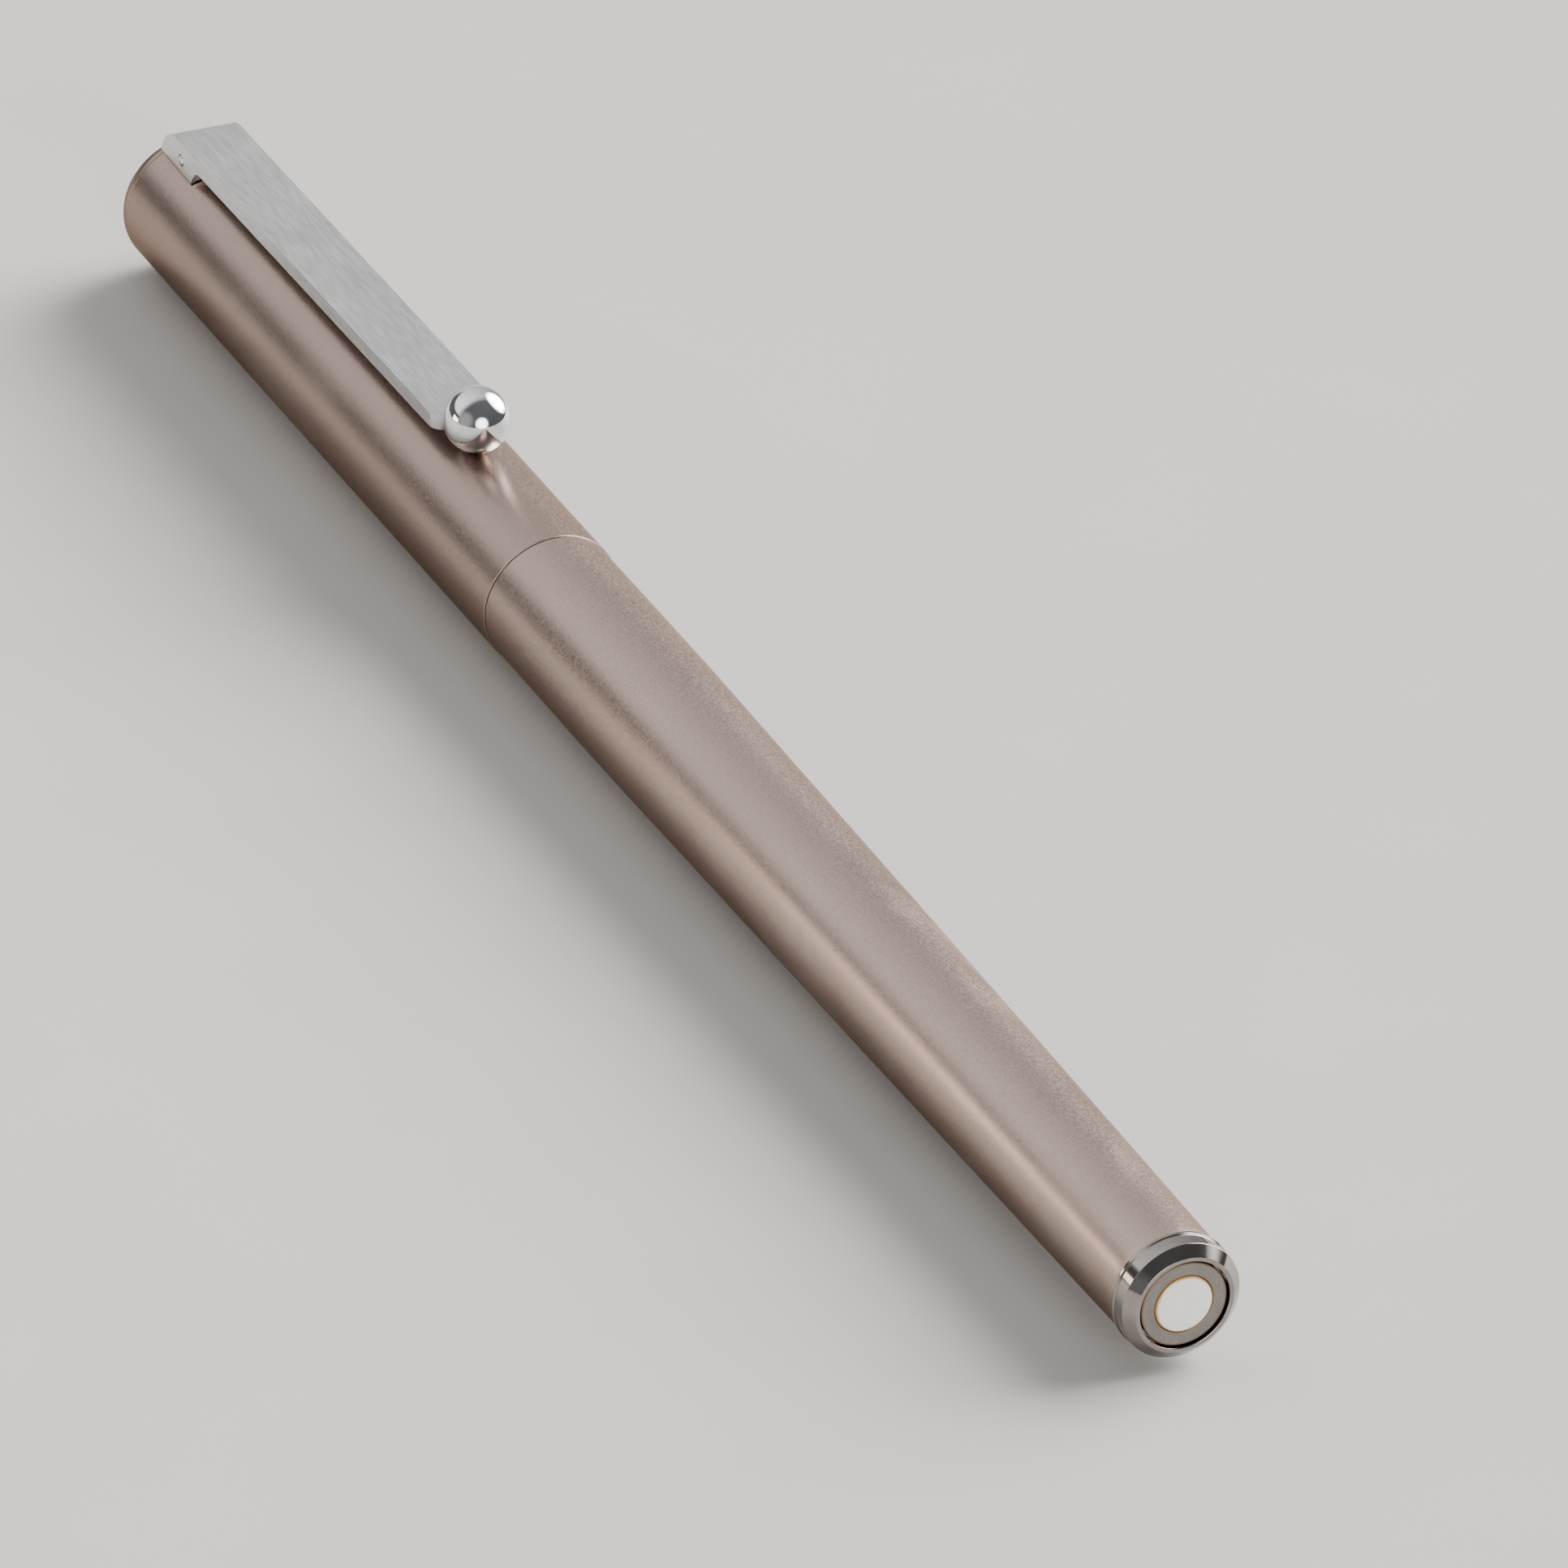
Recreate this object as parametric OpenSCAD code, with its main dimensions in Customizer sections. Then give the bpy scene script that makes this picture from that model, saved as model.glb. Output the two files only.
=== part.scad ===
// Slim capped rollerball pen, lying on its side.
// +X runs from the cap crown to the barrel end, +Z is up and the clip stands straight up.
// The underside of the cap is tangent to z = 0, and x = 0 is half way along the pen.
// Units: millimetres.

/* [Pen] */
// Overall length, capped
pen_len = 138; // [138:0.5:142]
// Outer diameter of the cap
cap_d = 8.74; // [8.7:0.02:8.9]
// Length of the cap from the crown to the lip
cap_len = 53; // [52.6:0.2:53.6]
// Wall of the cap tube
cap_wall = 0.5; // [0.45:0.01:0.5]

/* [Clip] */
// Width of the clip blade
clip_w = 4.3; // [4.0:0.1:4.4]
// Thickness of the clip blade
clip_t = 0.9; // [0.8:0.05:0.95]
// Height of the blade's upper face above the pen's axis, at the root
clip_z_root = 5.9; // [5.85:0.05:6.0]
// Height of the blade's upper face above the pen's axis, at the tip
clip_z_tip = 6.3; // [6.2:0.05:6.4]
// Rounding of the blade's root end
root_r = 2.0; // [1.6:0.1:2.0]
// Radius of the round clip tip
tip_r = 2.05; // [1.95:0.01:2.1]
// Radius of the clip's hinge pin
pin_r = 0.35; // [0.3:0.01:0.38]

/* [Barrel] */
// Outer diameter of the barrel at its mouth
barrel_d = 8.6; // [8.56:0.02:8.64]
// Outer diameter of the barrel where it meets the end collar
barrel_end_d = 7.32; // [7.2:0.02:7.4]
// Bore of the barrel
barrel_bore = 6.4; // [6.3:0.05:6.45]
// Length of the end collar
collar_len = 1.9; // [1.8:0.05:2.1]
// Diameter of the white inlay in the end
inlay_d = 3.6; // [3.2:0.1:3.8]

/* [Section] */
// Length of the grip section that shows when the cap is off
section_len = 36; // [35.5:0.1:36.5]
// Pitch of the thread between section and barrel
pitch = 0.75; // [0.7:0.05:0.8]
// Turns of thread
turns = 6; // [4:1:6]

/* [Refill] */
// Diameter of the refill's body
refill_d = 5.8; // [5.6:0.05:5.85]
// Length of the refill, tip to tail
refill_len = 110; // [109.5:0.1:110.5]
// Diameter of the writing ball
ball_d = 0.7; // [0.6:0.05:0.8]

/* [Hidden] */

fine = 96;
cap_r = cap_d / 2;
axis_z = cap_r;                 // height of the pen's axis above the surface it lies on
x_crown = -pen_len / 2;         // end of the crown
x_end = pen_len / 2;            // face of the end collar
x_lip = x_crown + cap_len;      // cap lip and barrel mouth
cap_in = cap_r - cap_wall;      // inner radius of the cap tube
x_collar = x_end - collar_len;  // where the barrel tube ends
crown_t = 1.4;                  // thickness of the crown's flange
bore_r = barrel_bore / 2;

// clip
pin_x = x_crown + 4.2;          // hinge pin, along Y
pin_z = 4.80;                   // above the pen's axis
lug_r = 0.58;                   // round end of the bracket's lug
spring_x = pin_x - 1.6;         // clip spring
tip_x = x_crown + 42;           // centre of the round tip
tip_z = cap_r + 0.06 + tip_r;
blade_x0 = x_crown + 1.3;
blade_x1 = tip_x - 1.2;
lug_w = 2.0;

// thread
bush_len = turns * pitch + 2.2;
section_r = 3.52;
male_core = 3.30;
male_crest = 3.56;
female_root = 3.62;
female_crest = 3.36;
bush_r = 3.92;
x_thread = x_lip + 0.9;         // where the thread starts, inside the barrel mouth

// refill and writing end
x_ball = x_lip - section_len - 3.55;
refill_r = refill_d / 2;
x_tail = x_ball - ball_d / 2 + refill_len;
x_shoulder = x_ball + 21;     // step from the refill's body to its nose
nose_r = 1.45;
seat_x = x_tail + 4.0;          // face of the spring seat

// Radius of the barrel at u = 0 (mouth) to 1 (collar): nearly straight, then a gentle taper
function barrel_r(u) = let (v = max(0, (u - 0.16) / 0.84))
    barrel_d / 2 + 0.03 * sin(180 * min(1, u / 0.32)) - (barrel_d - barrel_end_d) / 2 * pow(v, 1.22);

// A solid of revolution about the pen's axis, from [radius, x] points
module lathe(pts, f = fine) {
    translate([0, 0, axis_z]) rotate([0, 90, 0]) rotate_extrude($fn = f) polygon(pts);
}

// A cylinder about the pen's axis, from x = a to x = b
module rod(r, a, b, f = fine) {
    translate([a, 0, axis_z]) rotate([0, 90, 0]) cylinder(r = r, h = b - a, $fn = f);
}

// Arc of a circle in [radius, x], from angle a0 to a1 measured from the radius direction
function arc(cr, cx, r, a0, a1, n) = [for (i = [0:n]) let (a = a0 + (a1 - a0) * i / n) [cr + r * cos(a), cx + r * sin(a)]];

// A helical ridge about the pen's axis with a trapezoid section
module ridge(r_root, r_crest, w_root, w_crest, x0, n_turns, seg = 24, phase = 0) {
    N = seg * n_turns;
    // outward or inward ridge: the section runs the other way round
    w = r_crest > r_root ? -1 : 1;
    pts = [for (i = [0:N]) let (a = 360 * i / seg + phase, x = x0 + pitch * i / seg)
        for (q = [[r_root, -w * w_root / 2], [r_crest, -w * w_crest / 2], [r_crest, w * w_crest / 2], [r_root, w * w_root / 2]])
            [q[0] * cos(a), q[0] * sin(a), x + q[1]]];
    faces = concat(
        [[0, 1, 2, 3]],
        [[4 * N + 3, 4 * N + 2, 4 * N + 1, 4 * N]],
        [for (i = [0:N - 1]) for (k = [0:3]) [4 * i + k, 4 * (i + 1) + k, 4 * (i + 1) + (k + 1) % 4, 4 * i + (k + 1) % 4]]);
    translate([0, 0, axis_z]) rotate([0, 90, 0]) polyhedron(points = pts, faces = faces, convexity = 8);
}

// A closed coil spring along +Z from the origin: mean radius, wire radius, height between centres, turns
module coil(mr, wr, h, n, seg = 16, sides = 8) {
    N = seg * n;
    pts = [for (i = [0:N]) let (a = 360 * i / seg, z = h * i / N)
        for (j = [0:sides - 1]) let (b = 360 * j / sides)
            [(mr + wr * cos(b)) * cos(a), (mr + wr * cos(b)) * sin(a), z + wr * sin(b)]];
    faces = concat(
        [[for (j = [0:sides - 1]) j]],
        [[for (j = [0:sides - 1]) sides * N + sides - 1 - j]],
        [for (i = [0:N - 1]) for (j = [0:sides - 1])
            [sides * i + j, sides * (i + 1) + j, sides * (i + 1) + (j + 1) % sides, sides * i + (j + 1) % sides]]);
    polyhedron(points = pts, faces = faces, convexity = 8);
}

// ---- cap ----

module cap_tube() {
    color("#8f8580") difference() {
        lathe([[cap_in, x_crown + crown_t], [cap_r, x_crown + crown_t],
            [cap_r, x_lip - 0.12], [cap_r - 0.12, x_lip], [cap_in, x_lip]]);
        // slot for the clip bracket and pocket for the clip spring
        translate([pin_x - 1.15, -lug_w / 2 - 0.05, axis_z + 2]) cube([2.3, lug_w + 0.1, 4]);
        translate([spring_x, 0, axis_z + 2]) cylinder(r = 0.6, h = 4, $fn = 32);
    }
}

module cap_crown() {
    color("#8f8580") difference() {
        lathe(concat([[0, x_crown + 7.6], [cap_in, x_crown + 7.6], [cap_in, x_crown + crown_t], [cap_r, x_crown + crown_t]],
            arc(cap_r - 1.2, x_crown + 1.25, 1.2, 0, -80, 8),
            [[cap_r - 2.2, x_crown + 0.03], [0, x_crown]]));
        // slot for the bracket, pocket for the spring, tapped hole for the stud
        translate([pin_x - 1.15, -lug_w / 2 - 0.05, axis_z + 1.2]) cube([2.3, lug_w + 0.1, 5]);
        translate([spring_x, 0, axis_z + 2.2]) cylinder(r = 0.6, h = 4, $fn = 32);
        rod(1.0, x_crown + 4.8, x_crown + 8, 48);
    }
}

module crown_stud() {
    // screw that holds the inner cap against the crown
    color("#b9a06a") difference() {
        union() {
            rod(1.0, x_crown + 4.8, x_crown + 8.9, 48);
            rod(1.8, x_crown + 8.8, x_crown + 9.4, 48);
        }
        translate([x_crown + 9.1, -2, axis_z - 0.2]) cube([1, 4, 0.4]);
    }
}

module clip_bracket() {
    // fixed lug that rises through the cap wall and carries the hinge pin
    color("#b5b6b8") difference() {
        union() {
            translate([pin_x - 1.1, -lug_w / 2, axis_z + 1.2]) cube([2.2, lug_w, 3.0]);
            translate([pin_x - lug_r, -lug_w / 2, axis_z + 3.2]) cube([2 * lug_r, lug_w, pin_z - 3.2]);
            translate([pin_x, lug_w / 2, axis_z + pin_z]) rotate([90, 0, 0]) cylinder(r = lug_r, h = lug_w, $fn = 48);
        }
        translate([pin_x, 2, axis_z + pin_z]) rotate([90, 0, 0]) cylinder(r = pin_r, h = 4, $fn = 48);
    }
}

module clip_pin() {
    color("#d4d5d7") translate([pin_x, 0, axis_z + pin_z]) rotate([90, 0, 0])
        rotate_extrude($fn = 48) polygon([[0, -clip_w / 2 - 0.1], [pin_r - 0.14, -clip_w / 2 - 0.06], [pin_r, -clip_w / 2 + 0.06],
            [pin_r, clip_w / 2 - 0.06], [pin_r - 0.14, clip_w / 2 + 0.06], [0, clip_w / 2 + 0.1]]);
}

module clip_spring() {
    // pushes the clip's tail up, so the tip presses on the cap
    color("#a9abad") translate([spring_x, 0, axis_z + 2.2 + 0.10]) coil(0.38, 0.09, clip_z_root - clip_t - 2.2 - 0.28, 5, 12, 6);
}

// Outline of the blade seen from above, as a tall prism, grown by g at the tip end
module blade_plan(g) {
    w = clip_w / 2;
    c = 0.9;
    translate([0, 0, axis_z]) linear_extrude(9) polygon(concat(
        [[x_crown - 1, w + 1], [x_crown - 1, -w - 1], [blade_x1 - 6, -w - 1], [blade_x1 - 6, -w - g]],
        [for (i = [0:5]) let (a = -90 + 18 * i) [blade_x1 - c + (c + g) * cos(a), -w + c + (c + g) * sin(a)]],
        [for (i = [0:5]) let (a = 18 * i) [blade_x1 - c + (c + g) * cos(a), w - c + (c + g) * sin(a)]],
        [[blade_x1 - 6, w + g], [blade_x1 - 6, w + 1]]));
}

module clip_blade() {
    color("#c9cacb") difference() {
        // side outline of the blade and its root block
        intersection() {
            translate([0, clip_w / 2, axis_z]) rotate([90, 0, 0]) linear_extrude(clip_w)
            polygon(concat(
                [[blade_x1, clip_z_tip], [blade_x1, clip_z_tip - clip_t], [pin_x + 2.6, clip_z_root - clip_t + 0.03]],
                [[pin_x + 1.9, clip_z_root - clip_t - 0.12], [pin_x + 1.5, clip_z_root - clip_t - 0.5], [pin_x + 1.3, 3.2], [blade_x0, 3.2]],
                [for (i = [0:9]) let (a = 180 - 10 * i) [blade_x0 + root_r + root_r * cos(a), clip_z_root - root_r + root_r * sin(a)]]));
            blade_plan(0);
        }
        // clear of the cap, with room for the tail to dip
        rod(cap_r + 0.10, x_crown - 1, x_lip, 96);
        translate([pin_x, 0, axis_z]) rotate([0, 4.5, 0]) translate([-12, 0, 0]) rotate([0, 90, 0]) cylinder(r = cap_r + 0.10, h = 12, $fn = 96);
        // channel for the bracket and the spring
        translate([blade_x0 + 0.65, -lug_w / 2 - 0.08, axis_z + 2]) cube([pin_x + 0.9 - blade_x0 - 0.65, lug_w + 0.16, clip_z_root - clip_t - 2]);
        translate([pin_x, lug_w / 2 + 0.08, axis_z + pin_z]) rotate([90, 0, 0]) cylinder(r = lug_r + 0.08, h = lug_w + 0.16, $fn = 48);
        // pin hole through both cheeks
        translate([pin_x, 4, axis_z + pin_z]) rotate([90, 0, 0]) cylinder(r = pin_r + 0.03, h = 8, $fn = 48);
    }
}

module clip_tip() {
    // polished round tip, slotted over the end of the blade
    color("#e2e3e5") difference() {
        translate([tip_x, 0, axis_z + tip_z]) sphere(r = tip_r, $fn = 64);
        intersection() {
            translate([tip_x - 4, -clip_w, axis_z + clip_z_tip - clip_t - 0.08]) cube([4, 2 * clip_w, clip_t + 0.1]);
            blade_plan(0.02);
        }
    }
}

module inner_cap() {
    // plastic cup that keeps the writing tip from drying
    color("#2b2b2d") lathe([[1.0, x_crown + 7.6], [cap_in - 0.05, x_crown + 7.6], [cap_in - 0.05, x_crown + 25.5],
        [3.55, x_crown + 25.5], [3.25, x_crown + 23], [3.0, x_crown + 20], [3.0, x_crown + 8.8], [1.0, x_crown + 8.8]]);
}

module cap_seal() {
    // soft pad at the bottom of the inner cap
    color("#5a5a5c") rod(2.4, x_crown + 9.4, x_crown + 10.2, 48);
}

module cap_snap_bush() {
    // lining of the cap mouth with the groove that the snap ring springs into
    color("#3a3a3c") lathe([[cap_in, x_lip - 9.5], [cap_in, x_lip - 0.4], [3.76, x_lip - 0.4], [3.71, x_lip - 0.9],
        [3.71, x_lip - 5.2], [3.79, x_lip - 5.5], [3.79, x_lip - 6.3], [3.71, x_lip - 6.6], [3.71, x_lip - 9.5]], 96);
}

// ---- barrel ----

module barrel_tube() {
    n = 28;
    color("#90867f") lathe(concat(
        [[bore_r, x_collar]],
        [for (i = [n:-1:1]) [barrel_r(i / n), x_lip + (x_collar - x_lip) * i / n]],
        [[barrel_r(0), x_lip + 0.12], [barrel_r(0) - 0.10, x_lip + 0.02], [bush_r, x_lip + 0.02],
         [bush_r, x_lip + bush_len + 0.3], [bore_r, x_lip + bush_len + 0.3]]));
}

module barrel_thread_bush() {
    color("#b9a06a") union() {
        lathe([[female_root, x_lip + 0.3], [bush_r, x_lip + 0.3], [bush_r, x_lip + bush_len + 0.3],
            [3.3, x_lip + bush_len + 0.3], [3.3, x_lip + bush_len - 0.3], [female_root, x_lip + bush_len - 0.5]]);
        ridge(female_root + 0.12, female_crest, 0.45, 0.16, x_thread + pitch / 2, turns - 0.5);
    }
}

module end_collar() {
    // polished stepped collar with a threaded spigot
    color("#56504d") lathe([[0, x_end - 0.75], [2.82, x_end - 0.75], [2.82, x_end], [3.06, x_end], [3.12, x_end - 0.04],
        [3.62, x_end - 0.50], [3.70, x_end - 0.58], [3.70, x_collar + 0.32], [3.76, x_collar + 0.26], [3.78, x_collar + 0.12], [3.70, x_collar],
        [bore_r, x_collar], [bore_r, x_collar - 6], [bore_r - 0.3, x_collar - 6.3], [0, x_collar - 6.3]]);
}

module end_disc() {
    color("#8c8480") lathe([[0, x_end - 0.75], [2.56, x_end - 0.75], [2.56, x_end - 0.2], [2.50, x_end - 0.14],
        [inlay_d / 2, x_end - 0.14], [inlay_d / 2, x_end - 0.45], [0, x_end - 0.45]]);
}

module end_inlay() {
    r = inlay_d / 2;
    color("#f4f2ec") lathe([[0, x_end - 0.45], [r, x_end - 0.45], [r, x_end - 0.13], [r - 0.12, x_end - 0.06],
        [r * 0.6, x_end - 0.02], [0, x_end - 0.01]], 72);
}

module spring_seat() {
    color("#3a3a3c") lathe([[1.2, seat_x], [bore_r, seat_x], [bore_r, seat_x + 2.2], [1.2, seat_x + 2.2]], 72);
}

module refill_spring() {
    color("#a9abad") translate([x_tail + 0.22, 0, axis_z]) rotate([0, 90, 0]) coil(2.35, 0.2, seat_x - x_tail - 0.44, 4, 18, 8);
}

// ---- grip section ----

module section_grip() {
    color("#2e2c2b") lathe([[3.05, x_lip - 0.9], [3.05, x_shoulder + 0.7],
        [1.6, x_shoulder - 0.7], [1.6, x_lip - section_len + 2.4],
        [2.35, x_lip - section_len + 2.4], [2.6, x_lip - section_len + 4.6], [2.86, x_lip - section_len + 8], [3.16, x_lip - section_len + 12.5],
        [3.37, x_lip - section_len + 17], [3.47, x_lip - section_len + 22], [section_r, x_lip - 8.5], [section_r, x_lip - 6.35],
        [3.3, x_lip - 6.35], [3.3, x_lip - 5.45], [section_r, x_lip - 5.45], [section_r, x_lip - 4.15],
        [3.4, x_lip - 4.15], [3.4, x_lip - 3.85], [section_r, x_lip - 3.85], [section_r, x_lip - 0.9]]);
}

module section_o_ring() {
    // damps the cap against the section
    color("#161616") translate([x_lip - 4.0, 0, axis_z]) rotate([0, 90, 0]) rotate_extrude($fn = 72)
        translate([section_r + 0.01, 0]) circle(r = 0.12, $fn = 24);
}

module section_shoulder_ring() {
    // bright ring between the grip and the barrel mouth
    color("#d4d5d7") lathe([[3.05, x_lip - 0.9], [section_r, x_lip - 0.9], [3.66, x_lip - 0.78], [3.68, x_lip - 0.7], [3.68, x_lip + 0.18], [3.6, x_lip + 0.26], [3.05, x_lip + 0.26]]);
}

module section_thread_sleeve() {
    color("#b9a06a") union() {
        lathe([[3.05, x_lip + 0.26], [male_core, x_lip + 0.26], [male_core, x_thread + turns * pitch + 0.5],
            [male_core - 0.15, x_thread + turns * pitch + 0.65], [3.05, x_thread + turns * pitch + 0.65]]);
        ridge(male_core - 0.12, male_crest, 0.45, 0.16, x_thread, turns);
    }
}

module section_nose() {
    // polished nose cone with the tip's hole
    color("#d4d5d7") lathe([[1.6, x_lip - section_len + 2.4], [2.35, x_lip - section_len + 2.4], [2.30, x_lip - section_len + 1.9],
        [1.75, x_lip - section_len + 0.1], [1.62, x_lip - section_len], [1.28, x_lip - section_len], [1.28, x_lip - section_len + 1.0], [1.6, x_lip - section_len + 1.3]]);
}

// ---- snap ring ----

module snap_ring() {
    // split spring ring: sits in the section's groove and holds the cap
    color("#d4d5d7") difference() {
        lathe([[3.35, x_lip - 6.25], [3.6, x_lip - 6.25], [3.68, x_lip - 6.1], [3.68, x_lip - 5.7], [3.6, x_lip - 5.55], [3.35, x_lip - 5.55]]);
        translate([x_lip - 7, -0.5, axis_z - 5]) cube([2, 1, 3]);
    }
}

// ---- refill ----

module refill_tube() {
    color("#c9c6bf") lathe([[refill_r - 0.35, x_shoulder + 3], [refill_r, x_shoulder + 3], [refill_r, x_tail - 1], [refill_r - 0.35, x_tail - 1]], 72);
}

module refill_tail_plug() {
    color("#d8d8d6") lathe([[0, x_tail - 4], [refill_r - 0.35, x_tail - 4], [refill_r - 0.35, x_tail - 1], [refill_r, x_tail - 1], [refill_r, x_tail - 0.2], [refill_r - 0.2, x_tail], [0, x_tail]], 72);
}

module refill_reservoir() {
    // fibre rod that holds the ink
    color("#31426b") rod(refill_r - 0.45, x_shoulder + 3.4, x_tail - 4.2, 48);
}

module refill_feed() {
    // thin wick that carries the ink to the tip
    color("#31426b") rod(0.45, x_ball + 5.4, x_shoulder + 3.4, 32);
}

module refill_nose() {
    color("#1f1f22") lathe([[0.5, x_ball + 5.4], [nose_r, x_ball + 5.4], [nose_r, x_shoulder - 0.4], [refill_r - 0.1, x_shoulder + 1.3], [refill_r - 0.1, x_shoulder + 2.4], [refill_r, x_shoulder + 2.6],
        [refill_r, x_shoulder + 3], [refill_r - 0.35, x_shoulder + 3], [refill_r - 0.35, x_shoulder + 3.3], [0.5, x_shoulder + 3.3]], 72);
}

module refill_tip() {
    // turned metal point with the seat for the writing ball
    color("#cfcac0") difference() {
        lathe([[0, x_ball + 5.4], [1.12, x_ball + 5.4], [1.12, x_ball + 2.8], [0.62, x_ball + 1.9], [0.58, x_ball + 1.3], [ball_d / 2 + 0.08, x_ball - 0.12], [0, x_ball - 0.12]], 64);
        translate([x_ball, 0, axis_z]) sphere(r = ball_d / 2 + 0.02, $fn = 48);
        rod(0.12, x_ball, x_ball + 6, 24);
    }
}

module writing_ball() {
    color("#b8bcc2") translate([x_ball, 0, axis_z]) sphere(r = ball_d / 2, $fn = 48);
}

cap_tube();
cap_crown();
crown_stud();
clip_bracket();
clip_pin();
clip_spring();
clip_blade();
clip_tip();
inner_cap();
cap_seal();
cap_snap_bush();
barrel_tube();
barrel_thread_bush();
end_collar();
end_disc();
end_inlay();
spring_seat();
refill_spring();
section_grip();
section_thread_sleeve();
section_shoulder_ring();
section_nose();
section_o_ring();
snap_ring();
refill_tube();
refill_tail_plug();
refill_reservoir();
refill_feed();
refill_nose();
refill_tip();
writing_ball();
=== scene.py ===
import math

import bmesh
import bpy
import numpy as np
from mathutils import Matrix, Vector


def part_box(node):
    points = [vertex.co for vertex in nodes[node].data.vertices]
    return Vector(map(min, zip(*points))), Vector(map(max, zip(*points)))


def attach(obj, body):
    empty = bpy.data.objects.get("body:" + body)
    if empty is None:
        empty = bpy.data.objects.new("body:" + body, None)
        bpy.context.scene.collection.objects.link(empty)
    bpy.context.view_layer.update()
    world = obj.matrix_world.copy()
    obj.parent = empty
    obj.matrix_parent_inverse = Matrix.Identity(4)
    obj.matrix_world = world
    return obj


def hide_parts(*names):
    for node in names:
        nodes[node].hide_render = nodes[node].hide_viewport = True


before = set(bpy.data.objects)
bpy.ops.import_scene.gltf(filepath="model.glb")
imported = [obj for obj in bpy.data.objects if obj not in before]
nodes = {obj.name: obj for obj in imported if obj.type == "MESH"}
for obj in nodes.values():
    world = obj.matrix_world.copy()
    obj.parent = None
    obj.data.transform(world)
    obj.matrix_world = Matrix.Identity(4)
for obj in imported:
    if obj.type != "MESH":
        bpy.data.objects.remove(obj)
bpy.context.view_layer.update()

MM = 0.001
scene = bpy.context.scene


# ------------------------------------------------------------------ sizes, all from the CAD, in mm
def lo(node):
    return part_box(node)[0] / MM


def hi(node):
    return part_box(node)[1] / MM


cap_r = (hi("cap_tube").y - lo("cap_tube").y) / 2
axis_z = (hi("cap_tube").z + lo("cap_tube").z) / 2
x_crown = lo("cap_crown").x
x_seam = lo("cap_tube").x
x_lip = hi("cap_tube").x
x_end = hi("end_collar").x
x_collar = hi("barrel_tube").x
barrel_r0 = (hi("barrel_tube").y - lo("barrel_tube").y) / 2 - 0.03
barrel_r1 = 3.66
cap_in = cap_r - 0.5
bore_r = (hi("spring_seat").y - lo("spring_seat").y) / 2
bush_r = (hi("barrel_thread_bush").y - lo("barrel_thread_bush").y) / 2
bush_end = hi("barrel_thread_bush").x
x_nose = lo("section_nose").x
section_r = 3.52
x_ball = (lo("writing_ball").x + hi("writing_ball").x) / 2
ball_r = (hi("writing_ball").x - lo("writing_ball").x) / 2
tip_c = (lo("clip_tip") + hi("clip_tip")) / 2
tip_r = (hi("clip_tip").y - lo("clip_tip").y) / 2
pin_c = (lo("clip_pin") + hi("clip_pin")) / 2
pin_r = (hi("clip_pin").x - lo("clip_pin").x) / 2
pin_h = (hi("clip_pin").y - lo("clip_pin").y) / 2
blade_lo, blade_hi = lo("clip_blade"), hi("clip_blade")
inlay_r = (hi("end_inlay").y - lo("end_inlay").y) / 2


def barrel_r(u):
    """Outer radius of the barrel at u = 0 (mouth) to 1 (collar)."""
    v = max(0.0, (u - 0.16) / 0.84)
    return barrel_r0 + 0.03 * math.sin(math.pi * min(1.0, u / 0.32)) - (barrel_r0 - barrel_r1) * v ** 1.22


# ------------------------------------------------------------------ mesh building
def new_object(name, mesh, material):
    obj = bpy.data.objects.new(name, mesh)
    scene.collection.objects.link(obj)
    mesh.materials.clear()
    mesh.materials.append(material)
    return obj


def profile(points, arc_step=15.0):
    """Closed loop of (r, x, mode): mode > 0 is a fillet radius, "s" a smooth point, 0 a sharp corner.
    Returns rings [(r, x)] and the normals on each side of them, in the (x, r) plane."""
    P = [np.array([p[1], p[0]], float) for p in points]
    mode = [p[2] if len(p) > 2 else 0.02 for p in points]
    n = len(P)
    area = sum(P[i][0] * P[(i + 1) % n][1] - P[(i + 1) % n][0] * P[i][1] for i in range(n))
    if area < 0:
        P.reverse()
        mode.reverse()
    d = [(P[(i + 1) % n] - P[i]) for i in range(n)]
    length = [float(np.linalg.norm(v)) for v in d]
    d = [v / max(l, 1e-12) for v, l in zip(d, length)]
    out = []
    for i in range(n):
        a, b, m = d[i - 1], d[i], mode[i]
        na, nb = np.array([a[1], -a[0]]), np.array([b[1], -b[0]])
        if P[i][1] < 1e-9:
            # a pole: its normal lies along the axis where the surface is smooth
            pole = [np.array([math.copysign(1.0, k[0]), 0.0]) if m == "s" else k for k in (na, nb)]
            out.append((P[i], pole[0], pole[1]))
            continue
        if m == "s":
            s = na + nb
            s /= max(np.linalg.norm(s), 1e-12)
            out.append((P[i], s, s))
            continue
        turn = math.atan2(a[0] * b[1] - a[1] * b[0], float(a @ b))
        if not m or abs(turn) < math.radians(2):
            out.append((P[i], na, nb))
            continue
        cut = min(m * math.tan(abs(turn) / 2), 0.46 * length[i - 1], 0.46 * length[i])
        rad = cut / math.tan(abs(turn) / 2)
        start = P[i] - a * cut
        side = 1.0 if turn > 0 else -1.0
        centre = start - na * rad * side
        steps = max(2, int(math.ceil(abs(math.degrees(turn)) / arc_step)))
        for k in range(steps + 1):
            t = turn * k / steps
            c, s = math.cos(t), math.sin(t)
            nn = np.array([na[0] * c - na[1] * s, na[0] * s + na[1] * c])
            out.append((centre + nn * rad * side, nn, nn))
    return out


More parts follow.
